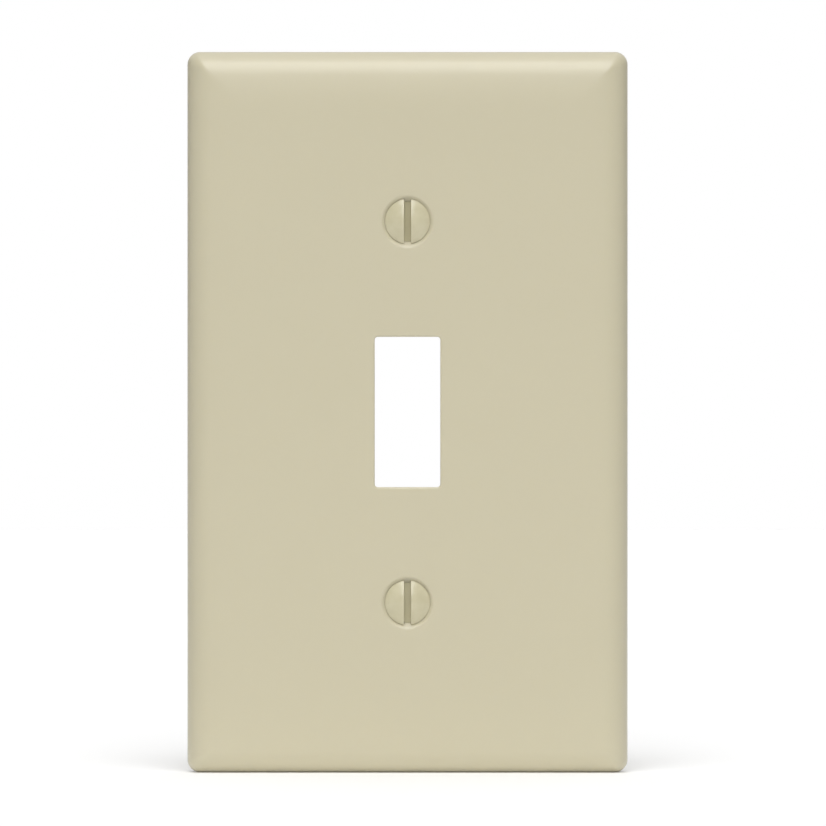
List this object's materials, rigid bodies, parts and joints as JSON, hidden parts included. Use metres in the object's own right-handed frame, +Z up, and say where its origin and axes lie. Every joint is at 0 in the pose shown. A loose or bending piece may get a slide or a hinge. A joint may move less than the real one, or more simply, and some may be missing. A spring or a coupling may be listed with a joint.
{
  "type": "toggle switch wall plate",
  "caption": "Ivory moulded cover plate with a rolled edge and a rectangular opening for a toggle switch, held by slotted oval-head screws.",
  "frame": {"origin": "middle of the plate, in the plane where its rear rim meets the wall", "axes": "+Z up the wall, +X across the plate to the viewer's right, +Y into the wall, so the face looks along -Y"},
  "size_m": [0.0698, 0.0138, 0.1142],
  "materials": {
    "moulded_ivory": "gloss",
    "enamelled_steel": "gloss enamel on the head, bright zinc on the shank"
  },
  "bodies": {
    "plate": {"wall_plate": "moulded_ivory"},
    "upper_screw": {"upper_screw": "enamelled_steel"},
    "lower_screw": {"lower_screw": "enamelled_steel"}
  },
  "joints": [
    {"name": "upper_screw_turn", "type": "hinge", "parent": "plate", "child": "upper_screw", "pos_m": [0, -0.0056, 0.03016], "axis": [0, 1, 0], "continuous": true},
    {"name": "lower_screw_turn", "type": "hinge", "parent": "plate", "child": "lower_screw", "pos_m": [0, -0.0056, -0.03016], "axis": [0, 1, 0], "continuous": true}
  ]
}
